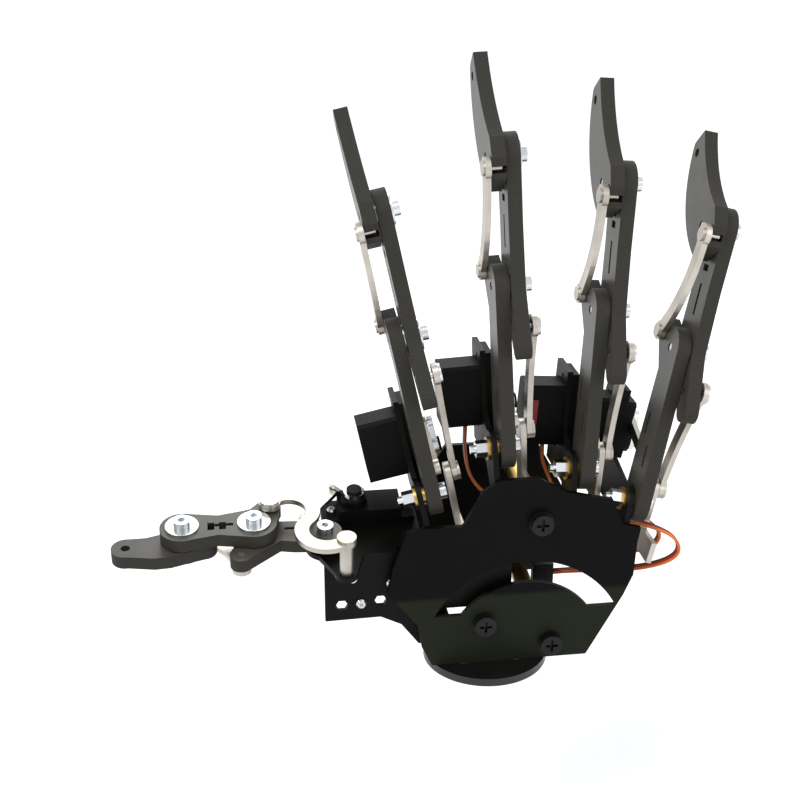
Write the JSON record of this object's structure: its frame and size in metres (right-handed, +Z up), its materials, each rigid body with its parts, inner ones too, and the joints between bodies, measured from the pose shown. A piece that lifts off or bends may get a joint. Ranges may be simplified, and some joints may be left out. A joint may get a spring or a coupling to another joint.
{
  "type": "robot hand",
  "caption": "Servo-driven robot hand: jointed flat-plate fingers and a thumb on a sheet-metal palm over a round wrist flange, moved by steel links.",
  "frame": {"origin": "centre of the wrist flange's lower face", "axes": "+Z up the palm towards the fingers, +X from the thumb side to the little finger, +Y to the back of the hand"},
  "size_m": [0.2237, 0.0727, 0.2171],
  "materials": {
    "finger_laminate": "matte",
    "palm_sheet": "satin black anodised",
    "flange_black": "satin black anodised",
    "brass": "satin",
    "black_screws": "satin",
    "zinc": "bright",
    "link_steel": "tumbled",
    "lead_silicone": "matte",
    "plug_black": "gloss",
    "servo_black": "satin"
  },
  "bodies": {
    "palm": {"front_plate": "palm_sheet", "back_plate": "palm_sheet", "wrist_flange": "flange_black", "wrist_angles": "flange_black", "palm_standoffs": "brass", "palm_screws": "black_screws", "servo_index": "servo_black", "servo_middle": "servo_black", "servo_ring": "servo_black", "servo_little": "servo_black", "servo_thumb": "servo_black", "finger_brackets": "palm_sheet", "knuckle_bolts": "zinc", "knuckle_spacers": "brass", "link_anchors": "link_steel", "thumb_bracket": "palm_sheet", "servo_leads": "lead_silicone", "lead_plugs": "plug_black"},
    "index_proximal_body": {"index_proximal": "finger_laminate"},
    "index_middle_body": {"index_middle": "finger_laminate", "index_screws": "zinc"},
    "index_distal_body": {"index_distal": "finger_laminate"},
    "index_palm_link_body": {"index_palm_link": "link_steel"},
    "index_tip_link_body": {"index_tip_link": "link_steel"},
    "index_horn_body": {"index_horn": "zinc"},
    "index_rod_body": {"index_rod": "link_steel"},
    "middle_proximal_body": {"middle_proximal": "finger_laminate"},
    "middle_middle_body": {"middle_middle": "finger_laminate", "middle_screws": "zinc"},
    "middle_distal_body": {"middle_distal": "finger_laminate"},
    "middle_palm_link_body": {"middle_palm_link": "link_steel"},
    "middle_tip_link_body": {"middle_tip_link": "link_steel"},
    "middle_horn_body": {"middle_horn": "zinc"},
    "middle_rod_body": {"middle_rod": "link_steel"},
    "ring_proximal_body": {"ring_proximal": "finger_laminate"},
    "ring_middle_body": {"ring_middle": "finger_laminate", "ring_screws": "zinc"},
    "ring_distal_body": {"ring_distal": "finger_laminate"},
    "ring_palm_link_body": {"ring_palm_link": "link_steel"},
    "ring_tip_link_body": {"ring_tip_link": "link_steel"},
    "ring_horn_body": {"ring_horn": "zinc"},
    "ring_rod_body": {"ring_rod": "link_steel"},
    "little_proximal_body": {"little_proximal": "finger_laminate"},
    "little_middle_body": {"little_middle": "finger_laminate", "little_screws": "zinc"},
    "little_distal_body": {"little_distal": "finger_laminate"},
    "little_palm_link_body": {"little_palm_link": "link_steel"},
    "little_tip_link_body": {"little_tip_link": "link_steel"},
    "little_horn_body": {"little_horn": "zinc"},
    "little_rod_body": {"little_rod": "link_steel"},
    "thumb_proximal_body": {"thumb_proximal_plate": "finger_laminate"},
    "thumb_middle_body": {"thumb_middle_plate": "finger_laminate", "thumb_screws": "zinc"},
    "thumb_distal_body": {"thumb_distal_plate": "finger_laminate"},
    "thumb_palm_link_body": {"thumb_palm_link": "link_steel"},
    "thumb_tip_link_body": {"thumb_tip_link": "link_steel"},
    "thumb_horn_body": {"thumb_horn": "zinc"},
    "thumb_rod_body": {"thumb_rod": "link_steel"}
  },
  "joints": [
    {"name": "index_knuckle", "type": "hinge", "parent": "palm", "child": "index_proximal_body", "pos_m": [-0.023, 0, 0.067], "axis": [0.9781, 0, 0.2079], "range_deg": [0, 40]},
    {"name": "index_middle_joint", "type": "hinge", "parent": "index_proximal_body", "child": "index_middle_body", "pos_m": [-0.03497, 0.00707, 0.12331], "axis": [0.9781, 0, 0.2079], "range_deg": [0, 29.7]},
    {"name": "index_tip_joint", "type": "hinge", "parent": "index_middle_body", "child": "index_distal_body", "pos_m": [-0.04405, 0.01243, 0.16603], "axis": [0.9781, 0, 0.2079], "range_deg": [0, 33.7]},
    {"name": "index_palm_link_pivot", "type": "hinge", "parent": "palm", "child": "index_palm_link_body", "pos_m": [-0.02362, 0.007, 0.06993], "axis": [0.9781, 0, 0.2079], "range_deg": [0, 31.7]},
    {"name": "index_tip_link_pivot", "type": "hinge", "parent": "index_proximal_body", "child": "index_tip_link_body", "pos_m": [-0.03557, 0.01649, 0.12612], "axis": [0.9781, 0, 0.2079], "range_deg": [0, 25.7]},
    {"name": "index_horn_shaft", "type": "hinge", "parent": "palm", "child": "index_horn_body", "pos_m": [-0.02487, 0.02, 0.0758], "axis": [0.9781, 0, 0.2079], "range_deg": [0, 40.5]},
    {"name": "index_rod_pivot", "type": "hinge", "parent": "index_horn_body", "child": "index_rod_body", "pos_m": [-0.02669, 0.02202, 0.08438], "axis": [0.9781, 0, 0.2079], "range_deg": [-40.5, 0]},
    {"name": "middle_knuckle", "type": "hinge", "parent": "palm", "child": "middle_proximal_body", "pos_m": [0.003, 0, 0.084], "axis": [0.999, 0, 0.0436], "range_deg": [0, 40]},
    {"name": "middle_middle_joint", "type": "hinge", "parent": "middle_proximal_body", "child": "middle_middle_body", "pos_m": [0.00049, 0.00707, 0.14151], "axis": [0.999, 0, 0.0436], "range_deg": [0, 29.7]},
    {"name": "middle_tip_joint", "type": "hinge", "parent": "middle_middle_body", "child": "middle_distal_body", "pos_m": [-0.00142, 0.01243, 0.18514], "axis": [0.999, 0, 0.0436], "range_deg": [0, 31.7]},
    {"name": "middle_palm_link_pivot", "type": "hinge", "parent": "palm", "child": "middle_palm_link_body", "pos_m": [0.00287, 0.007, 0.087], "axis": [0.999, 0, 0.0436], "range_deg": [0, 31.7]},
    {"name": "middle_tip_link_pivot", "type": "hinge", "parent": "middle_proximal_body", "child": "middle_tip_link_body", "pos_m": [0.00036, 0.01649, 0.14438], "axis": [0.999, 0, 0.0436], "range_deg": [0, 27.3]},
    {"name": "middle_horn_shaft", "type": "hinge", "parent": "palm", "child": "middle_horn_body", "pos_m": [0.00261, 0.02, 0.09299], "axis": [0.999, 0, 0.0436], "range_deg": [0, 40.5]},
    {"name": "middle_rod_pivot", "type": "hinge", "parent": "middle_horn_body", "child": "middle_rod_body", "pos_m": [0.00222, 0.02202, 0.10175], "axis": [0.999, 0, 0.0436], "range_deg": [-40.5, 0]},
    {"name": "ring_knuckle", "type": "hinge", "parent": "palm", "child": "ring_proximal_body", "pos_m": [0.032, 0, 0.074], "axis": [0.9976, 0, -0.0698], "range_deg": [0, 40]},
    {"name": "ring_middle_joint", "type": "hinge", "parent": "ring_proximal_body", "child": "ring_middle_body", "pos_m": [0.03602, 0.00707, 0.13143], "axis": [0.9976, 0, -0.0698], "range_deg": [0, 29.7]},
    {"name": "ring_tip_joint", "type": "hinge", "parent": "ring_middle_body", "child": "ring_distal_body", "pos_m": [0.03906, 0.01243, 0.17499], "axis": [0.9976, 0, -0.0698], "range_deg": [0, 32.1]},
    {"name": "ring_palm_link_pivot", "type": "hinge", "parent": "palm", "child": "ring_palm_link_body", "pos_m": [0.03221, 0.007, 0.07699], "axis": [0.9976, 0, -0.0698], "range_deg": [0, 31.7]},
    {"name": "ring_tip_link_pivot", "type": "hinge", "parent": "ring_proximal_body", "child": "ring_tip_link_body", "pos_m": [0.03622, 0.01649, 0.13429], "axis": [0.9976, 0, -0.0698], "range_deg": [0, 26.5]},
    {"name": "ring_horn_shaft", "type": "hinge", "parent": "palm", "child": "ring_horn_body", "pos_m": [0.03263, 0.02, 0.08298], "axis": [0.9976, 0, -0.0698], "range_deg": [0, 40.5]},
    {"name": "ring_rod_pivot", "type": "hinge", "parent": "ring_horn_body", "child": "ring_rod_body", "pos_m": [0.03324, 0.02202, 0.09173], "axis": [0.9976, 0, -0.0698], "range_deg": [-40.5, 0]},
    {"name": "little_knuckle", "type": "hinge", "parent": "palm", "child": "little_proximal_body", "pos_m": [0.053, 0, 0.06], "axis": [0.9744, 0, -0.225], "range_deg": [0, 40]},
    {"name": "little_middle_joint", "type": "hinge", "parent": "little_proximal_body", "child": "little_middle_body", "pos_m": [0.06595, 0.00707, 0.11609], "axis": [0.9744, 0, -0.225], "range_deg": [0, 29.7]},
    {"name": "little_tip_joint", "type": "hinge", "parent": "little_middle_body", "child": "little_distal_body", "pos_m": [0.07577, 0.01243, 0.15865], "axis": [0.9744, 0, -0.225], "range_deg": [0, 32.1]},
    {"name": "little_palm_link_pivot", "type": "hinge", "parent": "palm", "child": "little_palm_link_body", "pos_m": [0.05368, 0.007, 0.06292], "axis": [0.9744, 0, -0.225], "range_deg": [0, 31.7]},
    {"name": "little_tip_link_pivot", "type": "hinge", "parent": "little_proximal_body", "child": "little_tip_link_body", "pos_m": [0.0666, 0.01649, 0.11889], "axis": [0.9744, 0, -0.225], "range_deg": [0, 28.1]},
    {"name": "little_horn_shaft", "type": "hinge", "parent": "palm", "child": "little_horn_body", "pos_m": [0.05502, 0.038, 0.06877], "axis": [0.9744, 0, -0.225], "range_deg": [0, 40.5]},
    {"name": "little_rod_pivot", "type": "hinge", "parent": "little_horn_body", "child": "little_rod_body", "pos_m": [0.057, 0.04002, 0.07731], "axis": [0.9744, 0, -0.225], "range_deg": [-40.5, 0]},
    {"name": "thumb_knuckle", "type": "hinge", "parent": "palm", "child": "thumb_proximal_body", "pos_m": [-0.059, 0, 0.051], "axis": [0, -0.1908, 0.9816], "range_deg": [0, 30]},
    {"name": "thumb_middle_joint", "type": "hinge", "parent": "thumb_proximal_body", "child": "thumb_middle_body", "pos_m": [-0.084, 0, 0.051], "axis": [0, -0.1908, 0.9816], "range_deg": [0, 31.7]},
    {"name": "thumb_tip_joint", "type": "hinge", "parent": "thumb_middle_body", "child": "thumb_distal_body", "pos_m": [-0.109, 0, 0.051], "axis": [0, -0.1908, 0.9816], "range_deg": [0, 40.7]},
    {"name": "thumb_palm_link_pivot", "type": "hinge", "parent": "palm", "child": "thumb_palm_link_body", "pos_m": [-0.053, -0.01571, 0.04795], "axis": [0, -0.1908, 0.9816], "range_deg": [0, 22.4]},
    {"name": "thumb_tip_link_pivot", "type": "hinge", "parent": "thumb_proximal_body", "child": "thumb_tip_link_body", "pos_m": [-0.089, -0.00982, 0.04909], "axis": [0, -0.1908, 0.9816], "range_deg": [0, 37.4]},
    {"name": "thumb_horn_shaft", "type": "hinge", "parent": "palm", "child": "thumb_horn_body", "pos_m": [-0.047, 0.01571, 0.05405], "axis": [0, -0.1908, 0.9816], "range_deg": [0, 30.5]},
    {"name": "thumb_rod_pivot", "type": "hinge", "parent": "thumb_horn_body", "child": "thumb_rod_body", "pos_m": [-0.05278, 0.02247, 0.05537], "axis": [0, -0.1908, 0.9816], "range_deg": [-30.5, 0]}
  ],
  "couplings": [
    {"joint": "index_middle_joint", "follows": "index_knuckle", "ratio": 0.73},
    {"joint": "index_tip_joint", "follows": "index_knuckle", "ratio": 0.83},
    {"joint": "index_palm_link_pivot", "follows": "index_knuckle", "ratio": 0.78},
    {"joint": "index_tip_link_pivot", "follows": "index_knuckle", "ratio": 0.63},
    {"joint": "index_horn_shaft", "follows": "index_knuckle", "ratio": 1},
    {"joint": "index_rod_pivot", "follows": "index_knuckle", "ratio": -1},
    {"joint": "middle_middle_joint", "follows": "middle_knuckle", "ratio": 0.73},
    {"joint": "middle_tip_joint", "follows": "middle_knuckle", "ratio": 0.78},
    {"joint": "middle_palm_link_pivot", "follows": "middle_knuckle", "ratio": 0.78},
    {"joint": "middle_tip_link_pivot", "follows": "middle_knuckle", "ratio": 0.67},
    {"joint": "middle_horn_shaft", "follows": "middle_knuckle", "ratio": 1},
    {"joint": "middle_rod_pivot", "follows": "middle_knuckle", "ratio": -1},
    {"joint": "ring_middle_joint", "follows": "ring_knuckle", "ratio": 0.73},
    {"joint": "ring_tip_joint", "follows": "ring_knuckle", "ratio": 0.79},
    {"joint": "ring_palm_link_pivot", "follows": "ring_knuckle", "ratio": 0.78},
    {"joint": "ring_tip_link_pivot", "follows": "ring_knuckle", "ratio": 0.65},
    {"joint": "ring_horn_shaft", "follows": "ring_knuckle", "ratio": 1},
    {"joint": "ring_rod_pivot", "follows": "ring_knuckle", "ratio": -1},
    {"joint": "little_middle_joint", "follows": "little_knuckle", "ratio": 0.73},
    {"joint": "little_tip_joint", "follows": "little_knuckle", "ratio": 0.79},
    {"joint": "little_palm_link_pivot", "follows": "little_knuckle", "ratio": 0.78},
    {"joint": "little_tip_link_pivot", "follows": "little_knuckle", "ratio": 0.69},
    {"joint": "little_horn_shaft", "follows": "little_knuckle", "ratio": 1},
    {"joint": "little_rod_pivot", "follows": "little_knuckle", "ratio": -1},
    {"joint": "thumb_middle_joint", "follows": "thumb_knuckle", "ratio": 1.04},
    {"joint": "thumb_tip_joint", "follows": "thumb_knuckle", "ratio": 1.34},
    {"joint": "thumb_palm_link_pivot", "follows": "thumb_knuckle", "ratio": 0.73},
    {"joint": "thumb_tip_link_pivot", "follows": "thumb_knuckle", "ratio": 1.23},
    {"joint": "thumb_horn_shaft", "follows": "thumb_knuckle", "ratio": 1},
    {"joint": "thumb_rod_pivot", "follows": "thumb_knuckle", "ratio": -1}
  ]
}
